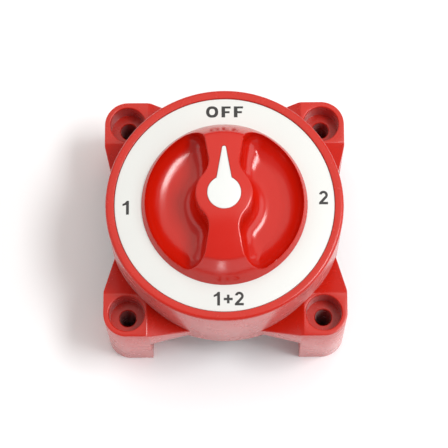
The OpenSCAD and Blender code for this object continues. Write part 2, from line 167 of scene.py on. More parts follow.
def make_floor():
    half = FLOOR_HALF * MM
    mesh = bpy.data.meshes.new("floor")
    mesh.from_pydata([(-half, -half, 0), (half, -half, 0), (half, half, 0), (-half, half, 0)],
                     [], [(0, 1, 2, 3)])
    floor = bpy.data.objects.new("floor", mesh)
    scene.collection.objects.link(floor)
    material = bpy.data.materials.new("floor_paper")
    material.use_nodes = True
    shader = material.node_tree.nodes["Principled BSDF"]
    shader.inputs["Base Color"].default_value = (*FLOOR_COLOUR, 1)
    shader.inputs["Roughness"].default_value = FLOOR_ROUGHNESS
    mesh.materials.append(material)


def make_lights():
    world = bpy.data.worlds.new("studio")
    world.use_nodes = True
    background = world.node_tree.nodes["Background"]
    background.inputs["Color"].default_value = (*WHITE, 1)
    background.inputs["Strength"].default_value = SURROUND
    scene.world = world
    scene.view_settings.view_transform = "Standard"
    for setting in SOFTBOXES:
        softbox(*setting)


# ---- Mesh helpers --------------------------------------------------------------------------------

def arc(centre, radius, first, last, steps):
    """Points on an arc about `centre`, with angles in degrees."""
    angles = np.radians(np.linspace(first, last, steps + 1))
    return [(centre[0] + radius * math.cos(a), centre[1] + radius * math.sin(a)) for a in angles]


def shape(bm):
    """Working object of a bmesh in millimetres, for the solid operations below."""
    bmesh.ops.recalc_face_normals(bm, faces=bm.faces)
    mesh = bpy.data.meshes.new("work")
    bm.to_mesh(mesh)
    bm.free()
    work = bpy.data.objects.new("work", mesh)
    scene.collection.objects.link(work)
    return work


def combine(work, tool, operation):
    """Unites the working object with a tool, or cuts the tool away, and removes the tool."""
    modifier = work.modifiers.new("combine", "BOOLEAN")
    modifier.operation = operation
    modifier.solver = "EXACT"
    modifier.object = tool
    evaluated = work.evaluated_get(bpy.context.evaluated_depsgraph_get())
    result = bpy.data.meshes.new_from_object(evaluated)
    work.modifiers.clear()
    work.data = result
    bpy.data.objects.remove(tool)


def cut(work, tool):
    combine(work, tool, "DIFFERENCE")


def join(work, tool):
    combine(work, tool, "UNION")


def piece_of(work, name, body, slot, sharp=30):
    """Finished piece in metres, shaded smooth but for edges over `sharp` degrees."""
    bm = bmesh.new()
    bm.from_mesh(work.data)
    bmesh.ops.triangulate(bm, faces=[face for face in bm.faces if len(face.verts) > 4])
    bmesh.ops.remove_doubles(bm, verts=bm.verts, dist=MERGE_GAP)
    bmesh.ops.recalc_face_normals(bm, faces=bm.faces)
    bmesh.ops.scale(bm, vec=(MM, MM, MM), verts=bm.verts)
    bm.to_mesh(work.data)
    bm.free()
    work.name = work.data.name = name
    work.data.shade_smooth()
    work.data.set_sharp_from_angle(angle=math.radians(sharp))
    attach(work, body)
    work.data.materials.clear()
    if slot:
        work.data.materials.append(MATERIALS[slot])
    return work


def sweep_rings(bm, rings, loop=False):
    """Skin over rings of equally many points. Open skins get flat ends."""
    made = [[bm.verts.new(point) for point in ring] for ring in rings]
    n = len(made[0])
    pairs = list(zip(made, made[1:]))
    if loop:
        pairs.append((made[-1], made[0]))
    for lower, upper in pairs:
        for i in range(n):
            k = (i + 1) % n
            bm.faces.new((lower[i], lower[k], upper[k], upper[i]))
    if not loop:
        bm.faces.new(made[0][::-1])
        bm.faces.new(made[-1])


def revolve(profile, at=(0, 0), segments=AROUND, loop=False, bm=None):
    """Solid of revolution about a vertical axis, from (radius, z) points; a loop is a closed section.
    It is added to `bm` where one is given."""
    angles = np.linspace(0, 2 * math.pi, segments, endpoint=False)
    rings = [[(at[0] + r * math.cos(a), at[1] + r * math.sin(a), z) for a in angles] for r, z in profile]
    bm = bm or bmesh.new()
    sweep_rings(bm, rings, loop)
    return bm


def prism(outline, low, high):
    """Upright solid over a plan outline."""
    bm = bmesh.new()
    sweep_rings(bm, [[(x, y, z) for x, y in outline] for z in (low, high)])
    return bm


def four_corners(x, y):
    return [(sx * x, sy * y) for sx in (1, -1) for sy in (1, -1)]


def on_axes(r):
    return [(r, 0), (0, r), (-r, 0), (0, -r)]


# ---- Materials -----------------------------------------------------------------------------------

PLASTIC_IOR = 1.5
SHEEN_ROUGHNESS = 0.35
NOISE_LOW, NOISE_HIGH = 0.3, 0.7       # span of most of a noise texture's values


class Look:
    """One material under construction: a Principled shader with noise that reaches its sockets."""

    def __init__(self, name, colour, roughness, metallic=0.0):
        self.material = bpy.data.materials.new(name)
        self.material.use_nodes = True
        self.tree = self.material.node_tree
        self.shader = self.tree.nodes["Principled BSDF"]
        self.colour = colour
        self.shader.inputs["Base Color"].default_value = (*colour, 1)
        self.shader.inputs["Roughness"].default_value = roughness
        self.shader.inputs["Metallic"].default_value = metallic
        self.shader.inputs["IOR"].default_value = PLASTIC_IOR
        self.place = self.tree.nodes.new("ShaderNodeTexCoord").outputs["Object"]

    def noise(self, size, detail=3.0, stretch=None):
        """Noise with features about `size` millimetres across."""
        place = self.place
        if stretch:
            mapping = self.tree.nodes.new("ShaderNodeMapping")
            mapping.inputs["Scale"].default_value = stretch
            self.tree.links.new(place, mapping.inputs["Vector"])
            place = mapping.outputs["Vector"]
        node = self.tree.nodes.new("ShaderNodeTexNoise")
        node.inputs["Scale"].default_value = 1 / (size * MM)
        node.inputs["Detail"].default_value = detail
        self.tree.links.new(place, node.inputs["Vector"])
        return node.outputs["Fac"]

    def spread(self, source, low, high):
        """Noise spread over low to high."""
        node = self.tree.nodes.new("ShaderNodeMapRange")
        node.inputs["From Min"].default_value = NOISE_LOW
        node.inputs["From Max"].default_value = NOISE_HIGH
        node.inputs["To Min"].default_value = low
        node.inputs["To Max"].default_value = high
        self.tree.links.new(source, node.inputs["Value"])
        return node.outputs["Result"]

    def vary_roughness(self, size, low, high, stretch=None):
        source = self.spread(self.noise(size, 4.0, stretch), low, high)
        self.tree.links.new(source, self.shader.inputs["Roughness"])

    def vary_colour(self, size, other, stretch=None):
        mix = self.tree.nodes.new("ShaderNodeMix")
        mix.data_type = "RGBA"
        factor, a, b = (mix.inputs[k] for k in (0, 6, 7))    # the sockets for colours
        a.default_value = (*self.colour, 1)
        b.default_value = (*other, 1)
        self.tree.links.new(self.spread(self.noise(size, 3.0, stretch), 0, 1), factor)
        self.tree.links.new(mix.outputs[2], self.shader.inputs["Base Color"])

    def bump(self, size, height, detail=3.0, stretch=None):
        """Bump of `height` millimetres. Several stack up, from coarse to fine."""
        node = self.tree.nodes.new("ShaderNodeBump")
        node.inputs["Strength"].default_value = 1.0
        node.inputs["Distance"].default_value = height * MM
        normal = self.shader.inputs["Normal"]
        if normal.is_linked:
            self.tree.links.new(normal.links[0].from_socket, node.inputs["Normal"])
        self.tree.links.new(self.noise(size, detail, stretch), node.inputs["Height"])
        self.tree.links.new(node.outputs["Normal"], normal)


def shade(colour, factor):
    return tuple(min(1, channel * factor) for channel in colour)


def moulded(name, colour, low, high, drift, grain, wave=0.012, haze=0.0):
    """Moulded plastic of roughness low to high: slow drift of colour and gloss, faint waviness and a
    fine grain. Haze is the milky look of a handled surface seen at a low angle."""
    look = Look(name, colour, (low + high) / 2)
    look.shader.inputs["Sheen Weight"].default_value = haze
    look.shader.inputs["Sheen Roughness"].default_value = SHEEN_ROUGHNESS
    look.vary_colour(14, shade(colour, drift))
    look.vary_roughness(5, low, high)
    look.bump(16, wave, 1.0)
    look.bump(0.5, grain)
    return look.material


def turned(name, colour, low, high, drift=0.8):
    """Bare or plated metal of roughness low to high, with fine marks that run around its axis."""
    look = Look(name, colour, (low + high) / 2, metallic=1.0)
    look.vary_colour(3, shade(colour, drift))
    look.vary_roughness(1.2, low, high, (1, 1, 6))
    look.bump(0.4, 0.004, 2.0, (1, 1, 8))
    return look.material


def print_ink():
    look = Look("print_ink", (0.019, 0.018, 0.018), 0.5)
    look.vary_roughness(1.5, 0.42, 0.58)
    look.vary_colour(2, (0.026, 0.025, 0.025))
    look.bump(0.2, 0.0008)
    return look.material


MATERIALS = {
    "red_plastic": moulded("red_plastic", (0.545, 0.010, 0.001), 0.23, 0.29,
                           drift=0.94, grain=0.0003, wave=0.004, haze=0.25),
    "knob_plastic": moulded("knob_plastic", (0.56, 0.008, 0.001), 0.17, 0.21,
                            drift=0.96, grain=0.0003, wave=0.004),
    "legend_white": moulded("legend_white", (0.72, 0.735, 0.715), 0.38, 0.46,
                            drift=0.985, grain=0.0006, wave=0.004),
    "pointer_white": moulded("pointer_white", (0.75, 0.765, 0.75), 0.3, 0.38,
                             drift=0.985, grain=0.0006, wave=0.004),
    "black_plastic": moulded("black_plastic", (0.018, 0.018, 0.019), 0.36, 0.5, drift=0.8, grain=0.006),
    "nylon": moulded("nylon", (0.72, 0.69, 0.60), 0.4, 0.52, drift=0.95, grain=0.002),
    "rubber": moulded("rubber", (0.012, 0.012, 0.012), 0.6, 0.75, drift=0.8, grain=0.005),
    "copper": turned("copper", (0.78, 0.40, 0.26), 0.25, 0.42),
    "tinned_copper": turned("tinned_copper", (0.72, 0.69, 0.63), 0.24, 0.38),
    "stainless": turned("stainless", (0.62, 0.61, 0.59), 0.2, 0.34, drift=0.88),
    "spring_steel": turned("spring_steel", (0.42, 0.43, 0.46), 0.25, 0.4),
    "zinc_steel": turned("zinc_steel", (0.60, 0.61, 0.64), 0.28, 0.42),
}
INK = print_ink()


# ---- Housing -------------------------------------------------------------------------------------

EAR_EDGE, FOOT_EDGE, RIM_ROUND = 0.45, 0.3, 0.5
RECESS_EDGE = 0.3                      # rounding of the bezel's inner edge
HOLE_CHAMFER, COUNTERBORE_DRAFT = 0.3, 0.2
HIDDEN_R = REBATE_R + 1.0              # ear edges nearer the axis than this lie inside the drum's wall
ROUNDED_OVER = math.radians(12)        # ear edges that turn by more than this are rounded
PAST = 1.0                             # how far a cutter or an added solid goes past the face it meets


def drum_solid():
    section = [(REBATE_R, DRUM_Z)]
    section += arc((DRUM_R - FOOT_EDGE, DRUM_Z + FOOT_EDGE), FOOT_EDGE, -90, 0, 3)
    section += arc((DRUM_R - BEZEL_EDGE_R, BEZEL_Z - BEZEL_EDGE_R), BEZEL_EDGE_R, 0, 90, 8)
    section += arc((RECESS_R + RECESS_EDGE, BEZEL_Z - RECESS_EDGE), RECESS_EDGE, 90, 180, 3)
    section += [(RECESS_R, RECESS_Z), (WELL_R, RECESS_Z), (WELL_R, DECK_TOP), (BORE_R, DECK_TOP),
                (BORE_R, DECK_UNDER), (CAVITY_R, DECK_UNDER), (CAVITY_R, REBATE_Z),
                (REBATE_R, REBATE_Z)]
    return revolve(section, loop=True)


def ear_top(x, y):
    """Height of an ear: a flat pad, with a wing that slopes down on each side of it."""
    fall = (PAD_Z - WING_TIP_Z) / (PAD_FOLD - WING_TIP[0])
    return PAD_Z - fall * max(0, PAD_FOLD - min(x, y))


def ear_solid():
    """One corner post with its pad and its two wings, whose inner ends lie inside the drum's wall."""
    corner = arc((SCREW_AT, SCREW_AT), POST_R, 0, 90, 16)
    root, pad_root = (POST_IN, POST_IN), (PAD_FOLD, PAD_FOLD)
    side, fold = (POST_IN, HALF_W), (PAD_FOLD, HALF_W)
    inner_end = [WING_TIP, *WING_ROOT, root]
    bm = bmesh.new()
    made = {}

    def vertex(p, level):
        """The vertex at a plan point and a named level, made once."""
        z = {"floor": 0.0, "under": WING_Z, "top": ear_top(*p)}[level]
        key = tuple(round(value, 4) for value in (*p, z))
        if key not in made:
            made[key] = bm.verts.new(key)
        return made[key]

    def face(points, levels):
        """Face through plan points; `levels` is one level for all, or one for each."""
        levels = [levels] * len(points) if isinstance(levels, str) else levels
        bm.faces.new([vertex(p, level) for p, level in zip(points, levels)])

    face([root, side[::-1], *corner, side], "floor")
    face([pad_root, fold[::-1], *corner, fold], "top")
    for a, b in zip(corner, corner[1:]):
        face([a, b, b, a], ["floor", "floor", "top", "top"])
    for mirrored, end in [(False, corner[-1]), (True, corner[0])]:
        s, f, *wing = [p[::-1] if mirrored else p for p in [side, fold, *inner_end]]
        face([s, end, end, f, s, s], ["floor", "floor", "top", "top", "top", "under"])
        face([root, s, s, root], ["floor", "floor", "under", "under"])
        face([s, *wing], "under")
        face([*wing, pad_root, f, s], "top")
        for a, b in zip([s, *wing], wing):
            face([a, b, b, a], ["under", "under", "top", "top"])
    bmesh.ops.recalc_face_normals(bm, faces=bm.faces)
    rounded = [edge for edge in bm.edges if edge.calc_face_angle() > ROUNDED_OVER
               and all(math.hypot(v.co.x, v.co.y) > HIDDEN_R for v in edge.verts)]
    bmesh.ops.bevel(bm, geom=rounded, offset=EAR_EDGE, segments=3, profile=0.5, affect="EDGES",
                    clamp_overlap=True)
    return bm


def counterbore_tool(at):
    """Cutter for a mounting hole, with a rounded rim and a slight draft on the counterbore."""
    floor = PAD_Z - COUNTERBORE_DEPTH
    rim = arc((COUNTERBORE_R + RIM_ROUND, PAD_Z - RIM_ROUND), RIM_ROUND, 180, 90, 5)
    wide = SCREW_HOLE_R + HOLE_CHAMFER
    profile = [(wide, -PAST), (wide, 0), (SCREW_HOLE_R, HOLE_CHAMFER),
               (SCREW_HOLE_R, floor - HOLE_CHAMFER), (wide, floor),
               (COUNTERBORE_R - COUNTERBORE_DRAFT, floor),
               *rim, (COUNTERBORE_R + RIM_ROUND, PAD_Z + PAST)]
    return revolve(profile, at, AROUND_SMALL)


def rod(radius, low, high, at, segments):
    """Upright cylinder, to add or to cut away."""
    return shape(revolve([(radius, low), (radius, high)], at, segments))


def make_housing():
    body = shape(drum_solid())
    ear = ear_solid()
    for quarter in range(4):
        one = ear.copy()
        turn = Matrix.Rotation(math.radians(90 * quarter), 4, "Z")
        bmesh.ops.transform(one, matrix=turn, verts=one.verts)
        join(body, shape(one))
    ear.free()
    for at in four_corners(SCREW_AT, SCREW_AT):
        cut(body, shape(counterbore_tool(at)))
    for at in on_axes(BOSS_AT):
        join(body, rod(BOSS_OUTER_R, REBATE_Z, DECK_UNDER + PAST, at, 32))
        cut(body, rod(BOSS_HOLE_R, REBATE_Z - PAST, BOSS_HOLE_Z, at, 24))
    for at in four_corners(*LEAF_POSTS):
        join(body, rod(LEAF_POST_R, LEAF_POST_Z, DECK_UNDER + PAST, at, 32))
    housing = piece_of(body, "housing_shell", FIXED, "red_plastic", sharp=25)
    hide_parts("housing")


# ---- Legend ring and its print -------------------------------------------------------------------

LEGEND_IN_R, LEGEND_EDGE = 32.4, 0.2
INK_T = 0.03                           # height of the print over the ring
STEM, STROKE = 0.2, 0.18               # stroke widths of a 1 and a 2, for a digit one unit high


def make_legend():
    outer = RING_HIGH.x
    section = [(LEGEND_IN_R, RING_LOW.z), (outer, RING_LOW.z)]
    section += arc((outer - LEGEND_EDGE, RING_Z - LEGEND_EDGE), LEGEND_EDGE, 0, 90, 3)
    section += [(LEGEND_IN_R, RING_Z)]
    ring = piece_of(shape(revolve(section, loop=True)), "legend_plate", FIXED, "legend_white")
    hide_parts("legend_ring")


# Each glyph is an outline and a hole or None, one unit high, with its foot at y = 0.

def letter_o():
    """A wide O, a little squarer than ellipses."""
    middle, squareness = (0.53, 0.5), 0.88
    turns = np.radians(np.linspace(0, 360, 56, endpoint=False))

    def swing(value):
        return math.copysign(abs(value) ** squareness, value)

    def loop(half_w, half_h):
        return [(middle[0] + half_w * swing(math.cos(a)), middle[1] + half_h * swing(math.sin(a)))
                for a in turns]

    return loop(0.53, 0.52), loop(0.25, 0.29)


def letter_f():
    stem, bar, middle = 0.315, 0.19, 0.47
    middle_end, top_end = 0.7, 0.8
    low, high = middle - bar / 2, middle + bar / 2
    return [(0, 0), (stem, 0), (stem, low), (middle_end, low), (middle_end, high),
            (stem, high), (stem, 1 - bar), (top_end, 1 - bar), (top_end, 1), (0, 1)], None


def digit_one():
    stem_x = 0.25
    return [(stem_x, 0), (stem_x + STEM, 0), (stem_x + STEM, 1), (stem_x + 0.05, 1), (0.17, 0.85),
            (0, 0.77), (0, 0.61), (stem_x, 0.71)], None


def digit_two():
    """Bowl and diagonal of one even stroke, on a flat foot."""
    middle, bowl, low_turn = (0.32, 0.685), 0.225, -38
    outer = arc(middle, bowl + STROKE / 2, 168, low_turn, 14)
    inner = arc(middle, bowl - STROKE / 2, low_turn, 168, 12)
    foot = [(0.29, STROKE), (0.64, STROKE), (0.64, 0), (0, 0), (0, 0.14)]
    return outer + foot + inner, None


def plus_sign():
    arm, half = 0.32, STROKE / 2
    middle, outline = (0.31, 0.47), []
    for c, s in on_axes(1):
        outline += [(middle[0] + c * a - s * b, middle[1] + s * a + c * b)
                    for a, b in [(half, -half), (arm, -half), (arm, half)]]
    return outline, None


def ink(name, glyphs, middle, height):
    """Print on the ring: a row of (offset, glyph), centred on `middle`, `height` millimetres high."""
    ends = [x + at for at, (outer, _) in glyphs for x, _ in outer]
    left = middle[0] - height * (min(ends) + max(ends)) / 2
    foot = middle[1] - height / 2
    under, over = RING_Z - INK_T, RING_Z + INK_T
    bm = bmesh.new()

    def ring(outline, at, z):
        return [bm.verts.new((left + height * (x + at), foot + height * y, z)) for x, y in outline]

    def walls(low, high):
        for i in range(len(low)):
            k = (i + 1) % len(low)
            bm.faces.new((low[i], low[k], high[k], high[i]))

    for at, (outer, hole) in glyphs:
        low, high = ring(outer, at, under), ring(outer, at, over)
        walls(low, high)
        if hole:
            low_hole, high_hole = ring(hole, at, under), ring(hole, at, over)
            walls(low_hole, high_hole)
            walls(high, high_hole)
            walls(low, low_hole)
        else:
            bm.faces.new(high)
            bm.faces.new(low)
    piece = piece_of(shape(bm), name, FIXED, None)
    piece.data.materials.append(INK)


def make_print():
    off = [(0, letter_o()), (1.35, letter_f()), (2.43, letter_f())]
    one_and_two = [(0, digit_one()), (0.73, plus_sign()), (1.51, digit_two())]
    ink("print_off", off, middle=(0.2, 38.4), height=4.6)
    ink("print_1", [(0, digit_one())], middle=(-39.3, -1.3), height=5.7)
    ink("print_2", [(0, digit_two())], middle=(39.4, 2.4), height=5.6)
    ink("print_1_and_2", one_and_two, middle=(1.5, -38.6), height=5.5)


# ---- Knob ----------------------------------------------------------------------------------------

BOSS_R, WAIST_HALF, WAIST_Y = 11.2, 6.0, 13.5
SCOOP_R, SCOOP_Z = 31.5, 62.0          # outer edge of the scoops, and their floor
CORNER_R, CORNER_Y = 6.0, 21.7
LIP_R = 0.45                           # rounding of the lip round each scoop
BLEND = 0.7                            # rounding between the dome and the side
WALL_DRAFT = 0.35                      # plan width of the steep wall towards the boss
FOOT, BOWL = (7.0, 6.2), (10.0, 6.7)   # width and height of the elliptical feet: boss side, outer side
OUTER_FROM, OUTER_RUN = 19, 5          # where the outer wall's shape takes over, and over what distance
SCREW_POCKET_R, WEB_Z, WEB_UNDER = 5.3, 73.0, 69.9
SCREW_CLEAR_R, SQUARE_W = 2.7, 8.5
CORE_W, CORE_Y, CORE_TOP = 6.4, (13.5, 22.5), 77.7    # pockets that core out the bar from below

# The scoops' outline on the +X, +Y quarter: an arc round the boss, an arc at the waist, a straight
# flank, an arc at the corner and an arc along the rim, each tangent to the next.
NECK_R = (WAIST_HALF**2 + WAIST_Y**2 - BOSS_R**2) / (2 * (BOSS_R - WAIST_HALF))
NECK = np.array((WAIST_HALF + NECK_R, WAIST_Y))    # centre of the waist's arc
CORNER = np.array((math.sqrt((SCOOP_R - CORNER_R) ** 2 - CORNER_Y**2), CORNER_Y))
BOSS_ANGLE = math.degrees(math.atan2(NECK[1], NECK[0]))
CORNER_ANGLE = math.degrees(math.atan2(CORNER[1], CORNER[0]))
FLANK = (180 - math.degrees(math.asin((NECK_R - CORNER_R) / np.linalg.norm(CORNER - NECK)))
         + math.degrees(math.atan2(NECK[0] - CORNER[0], CORNER[1] - NECK[1])))
FLANK_OUT = np.array((math.cos(math.radians(FLANK)), math.sin(math.radians(FLANK))))
FLANK_START, FLANK_END = NECK + NECK_R * FLANK_OUT, CORNER + CORNER_R * FLANK_OUT


def scoop_inset(x, y):
    """Distance from the scoops' outline, positive inside a scoop. The outline's arcs meet in line, so
    the nearest of the arcs that face a point gives it."""
    x, y = np.abs(x), np.abs(y)
    far = np.full(np.broadcast(x, y).shape, 1e3)
    r, angle = np.hypot(x, y), np.degrees(np.arctan2(y, x))

    def inside(centre, radius, first, last):
        turn = np.degrees(np.arctan2(y - centre[1], x - centre[0])) % 360
        gap = radius - np.hypot(x - centre[0], y - centre[1])
        return np.where((turn >= first) & (turn <= last), gap, far)

    run = FLANK_END - FLANK_START
    along = ((x - FLANK_START[0]) * run[0] + (y - FLANK_START[1]) * run[1]) / (run @ run)
    across = -((x - FLANK_START[0]) * FLANK_OUT[0] + (y - FLANK_START[1]) * FLANK_OUT[1])
    return np.minimum.reduce([
        np.where(angle <= BOSS_ANGLE, r - BOSS_R, far),
        np.where(angle <= CORNER_ANGLE, SCOOP_R - r, far),
        inside(NECK, NECK_R, FLANK, 180 + BOSS_ANGLE),
        inside(CORNER, CORNER_R, CORNER_ANGLE, FLANK),
        np.where((along >= 0) & (along <= 1), across, far),
    ])


def dome_z(r, inset=0.0):
    """Height of the knob's dome, or of a surface `inset` under it."""
    return KNOB_Z - DOME_R + np.sqrt((DOME_R - inset) ** 2 - r**2)


def side_centre():
    """Centre of the arc of the knob's bulging side, in (radius, z)."""
    top, bottom = np.array((TOP_R, dome_z(TOP_R))), np.array((KNOB_R, LIP_Z))
    chord = top - bottom
    length = np.linalg.norm(chord)
    inward = np.array((-chord[1], chord[0])) / length
    return (top + bottom) / 2 + inward * math.sqrt(SIDE_R**2 - (length / 2) ** 2)


SIDE_C = side_centre()


def knob_blank(r):
    """Height of the knob before the scoops: the lower of dome and side, blended where they cross."""
    dome = dome_z(r)
    side = SIDE_C[1] + np.sqrt(SIDE_R**2 - (r - SIDE_C[0]) ** 2)
    mix = np.clip(1 - np.abs(side - dome) / BLEND, 0, 1)
    return np.minimum(side, dome) - mix**2 * BLEND / 4


def knob_height(x, y):
    """The wall towards the boss drops almost straight to a rounded foot; the outer wall is all bowl."""
    r, inset = np.hypot(x, y), scoop_inset(x, y)
    lip = np.clip(inset + LIP_R, 0, LIP_R)
    rounded = knob_blank(r) - (LIP_R - np.sqrt(LIP_R**2 - lip**2))
    outer = np.clip((r - OUTER_FROM) / OUTER_RUN, 0, 1)
    width, height = (a + (b - a) * outer for a, b in zip(FOOT, BOWL))
    draft = WALL_DRAFT * (1 - outer)
    climb = np.clip((width + draft - inset) / width, 0, 1)
    bowl = SCOOP_Z + height * (1 - np.sqrt(1 - climb**2))
    drop = np.clip(inset / np.maximum(draft, 1e-6), 0, 1)
    scooped = np.minimum(rounded, rounded + (bowl - rounded) * drop)
    return np.where(inset > 0, scooped, rounded)


ROW_STEP, ROW_GAP_MIN = 0.55, 0.06
CREASE_ROWS = np.arange(TOP_R - 1.2, TOP_R + 0.9, 0.25)
BOWL_STEPS, LIP_POINTS = 16, 5         # of the mesh, over a bowl or foot and over a lip


def easing(n):
    """n steps from 0 to 1, fine at the start, where a wall is steep."""
    return 1 - np.cos(np.linspace(0, math.pi / 2, n + 1))


def knob_rows():
    """Y of the rows of the knob's mesh from the centre line outwards, closer where it curves."""
    scoop_end = CORNER_Y + CORNER_R
    rows = list(np.arange(0, CORNER_Y, ROW_STEP))
    rows += list(scoop_end - CORNER_R * easing(BOWL_STEPS))
    rows += list(scoop_end + LIP_R * np.linspace(0, 1, LIP_POINTS))
    rows += list(CREASE_ROWS)
    first = math.asin((scoop_end + LIP_R + 0.25) / KNOB_R)
    rows += list(KNOB_R * np.sin(np.linspace(first, math.pi / 2, 18)))
    kept = []
    for y in sorted(rows):
        if not kept or y - kept[-1] > ROW_GAP_MIN:
            kept.append(y)
    kept[-1] = KNOB_R
    return np.array(kept)


def lip_crossings(y):
    """X where a row at y enters and leaves the scoop on the +X side."""
    if y <= BOSS_R * math.sin(math.radians(BOSS_ANGLE)):
        x_in = math.sqrt(BOSS_R**2 - y**2)
    elif y <= FLANK_START[1]:
        x_in = NECK[0] - math.sqrt(NECK_R**2 - (y - NECK[1]) ** 2)
    elif y <= FLANK_END[1]:
        share = (y - FLANK_START[1]) / (FLANK_END[1] - FLANK_START[1])
        x_in = FLANK_START[0] + share * (FLANK_END[0] - FLANK_START[0])
    else:
        x_in = CORNER[0] - math.sqrt(max(CORNER_R**2 - (y - CORNER[1]) ** 2, 0))
    if y <= SCOOP_R * math.sin(math.radians(CORNER_ANGLE)):
        x_out = math.sqrt(SCOOP_R**2 - y**2)
    else:
        x_out = CORNER[0] + math.sqrt(max(CORNER_R**2 - (y - CORNER[1]) ** 2, 0))
    return x_in, x_out


def knob_row(y):
    """X of one row's points on the +X side, from the centre line to the knob's edge. Each row has the
    same number of points; lips and feet narrow where a row is short."""
    edge = math.sqrt(max(KNOB_R**2 - y**2, 0))
    if y < CORNER_Y + CORNER_R:
        x_in, x_out = lip_crossings(y)
    else:
        x_in = x_out = min(CORNER[0], 0.7 * edge)
    lip_in, lip_out = min(LIP_R, 0.2 * x_in), min(LIP_R, 0.3 * (edge - x_out))
    width = x_out - x_in
    foot, bowl = min(FOOT[0] + WALL_DRAFT, 0.42 * width), min(BOWL[0], 0.5 * width)
    lip_turn = 1 - np.sin(np.linspace(0, math.pi / 2, LIP_POINTS))
    runs = [
        np.linspace(0, x_in - lip_in, 18),
        x_in - lip_in * lip_turn,
        x_in + foot * easing(BOWL_STEPS),
        np.linspace(x_in + foot, x_out - bowl, 7),
        (x_out - bowl * easing(BOWL_STEPS))[::-1],
        x_out + lip_out * lip_turn[::-1],
        np.linspace(x_out + lip_out, edge, 4),
    ]
    return np.concatenate([runs[0]] + [run[1:] for run in runs[1:]])


def knob_shell():
    """The knob's upper surface over a grid of rows, closed by its lip, stepped skirt and underside."""
    half = knob_rows()
    bm = bmesh.new()
    grid = []
    for y in np.concatenate([-half[:0:-1], half]):
        x = knob_row(abs(y))
        x = np.concatenate([-x[:0:-1], x])
        z = np.where(np.hypot(x, y) > KNOB_R - 1e-6, LIP_Z, knob_height(x, np.full_like(x, y)))
        grid.append([bm.verts.new((a, y, c)) for a, c in zip(x, z)])
    for row, above in zip(grid, grid[1:]):
        for k in range(len(row) - 1):
            bm.faces.new((row[k], row[k + 1], above[k + 1], above[k]))
    bmesh.ops.remove_doubles(bm, verts=bm.verts, dist=1e-3)
    for radius, z in [(SKIRT_R, LIP_Z), (SKIRT_R, KNOB_UNDER)]:
        rim = [edge for edge in bm.edges if edge.is_boundary]
        for v in bmesh.ops.extrude_edge_only(bm, edges=rim)["geom"]:
            if isinstance(v, bmesh.types.BMVert):
                v.co.xy = v.co.xy.normalized() * radius
                v.co.z = z
    bmesh.ops.holes_fill(bm, edges=[edge for edge in bm.edges if edge.is_boundary], sides=0)
    return bm


# ---- Pointer -------------------------------------------------------------------------------------

POINTER_R, POINTER_HALF, POINTER_TIP_R = 6.6, 3.3, 0.8    # disc, half width of the blade, tip
POINTER_T, POINTER_DROP = 1.3, 0.1     # thickness, and how far its top lies under the dome
POINTER_GAP, POINTER_EDGE = 0.12, 0.14
SHARES = (0.3, 0.5, 0.75, 1)           # rings of the pointer's mesh, as shares of its outline


def pointer_outline(gap=0.0):
    """Disc with a tapering blade towards +Y, anticlockwise, grown by `gap`."""
    disc, tip = POINTER_R + gap, POINTER_TIP_R + gap
    tip_y = POINTER_HIGH.y - POINTER_TIP_R
    base = np.array((POINTER_HALF + gap, 0.6 * POINTER_R))
    blade = np.array((tip, tip_y)) - base
    blade /= np.linalg.norm(blade)
    reach = base @ blade
    leave = base + blade * (math.sqrt(reach**2 - base @ base + disc**2) - reach)
    angle = math.degrees(math.atan2(leave[1], leave[0]))
    return arc((0, tip_y), tip, 0, 180, 8) + arc((0, 0), disc, 180 - angle, 360 + angle, 60)


def on_dome(outline, inset):
    """Plan outline laid on the dome, `inset` under it."""
    return [(x, y, float(dome_z(math.hypot(x, y), inset))) for x, y in outline]


def pointer_recess():
    """Cutter for the pointer's seat in the knob."""
    outline = np.array(pointer_outline(POINTER_GAP))
    rings = [on_dome(outline * share, POINTER_DROP + POINTER_T) for share in SHARES]
    bm = bmesh.new()
    sweep_rings(bm, rings + [[(x, y, KNOB_Z + PAST) for x, y in outline]])
    return bm


def make_pointer():
    """Pointer inlay: its top follows the knob's dome, with a fine round along its edge."""
    outline = np.array(pointer_outline())
    along = np.roll(outline, -1, axis=0) - np.roll(outline, 1, axis=0)
    inward = np.column_stack([-along[:, 1], along[:, 0]]) / np.linalg.norm(along, axis=1)[:, None]
    rings = [on_dome(outline * share, POINTER_DROP + POINTER_T) for share in SHARES]
    for turn in np.radians((0, 22.5, 45, 67.5, 90)):
        shrunk = outline + inward * POINTER_EDGE * (1 - math.cos(turn))
        rings.append(on_dome(shrunk, POINTER_DROP + POINTER_EDGE * (1 - math.sin(turn))))
    rings += [on_dome(outline * share, POINTER_DROP) for share in (0.9, *SHARES[-2::-1])]
    bm = bmesh.new()
    sweep_rings(bm, rings)
    pointer = piece_of(shape(bm), "pointer_inlay", ROTOR, "pointer_white", sharp=40)
    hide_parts("pointer")


def make_knob():
    """Knob with the pointer's seat, a pocket and a hole for its screw, a square socket for the shaft,
    and cored-out pockets under its bar."""
    knob = shape(knob_shell())
    cut(knob, shape(pointer_recess()))
    cut(knob, rod(SCREW_POCKET_R, WEB_Z, KNOB_Z, (0, 0), 64))
    cut(knob, rod(SCREW_CLEAR_R, WEB_UNDER - PAST, WEB_Z + PAST, (0, 0), 48))
    h, w, below = SQUARE_W / 2, CORE_W / 2, KNOB_UNDER - PAST
    cut(knob, shape(prism([(h, h), (-h, h), (-h, -h), (h, -h)], below, WEB_UNDER)))
    for low, high in [CORE_Y, (-CORE_Y[1], -CORE_Y[0])]:
        cut(knob, shape(prism([(-w, low), (w, low), (w, high), (-w, high)], below, CORE_TOP)))
    knob = piece_of(knob, "knob_grip", ROTOR, "knob_plastic", sharp=35)
    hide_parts("knob")


# ---- Terminal hardware ---------------------------------------------------------------------------

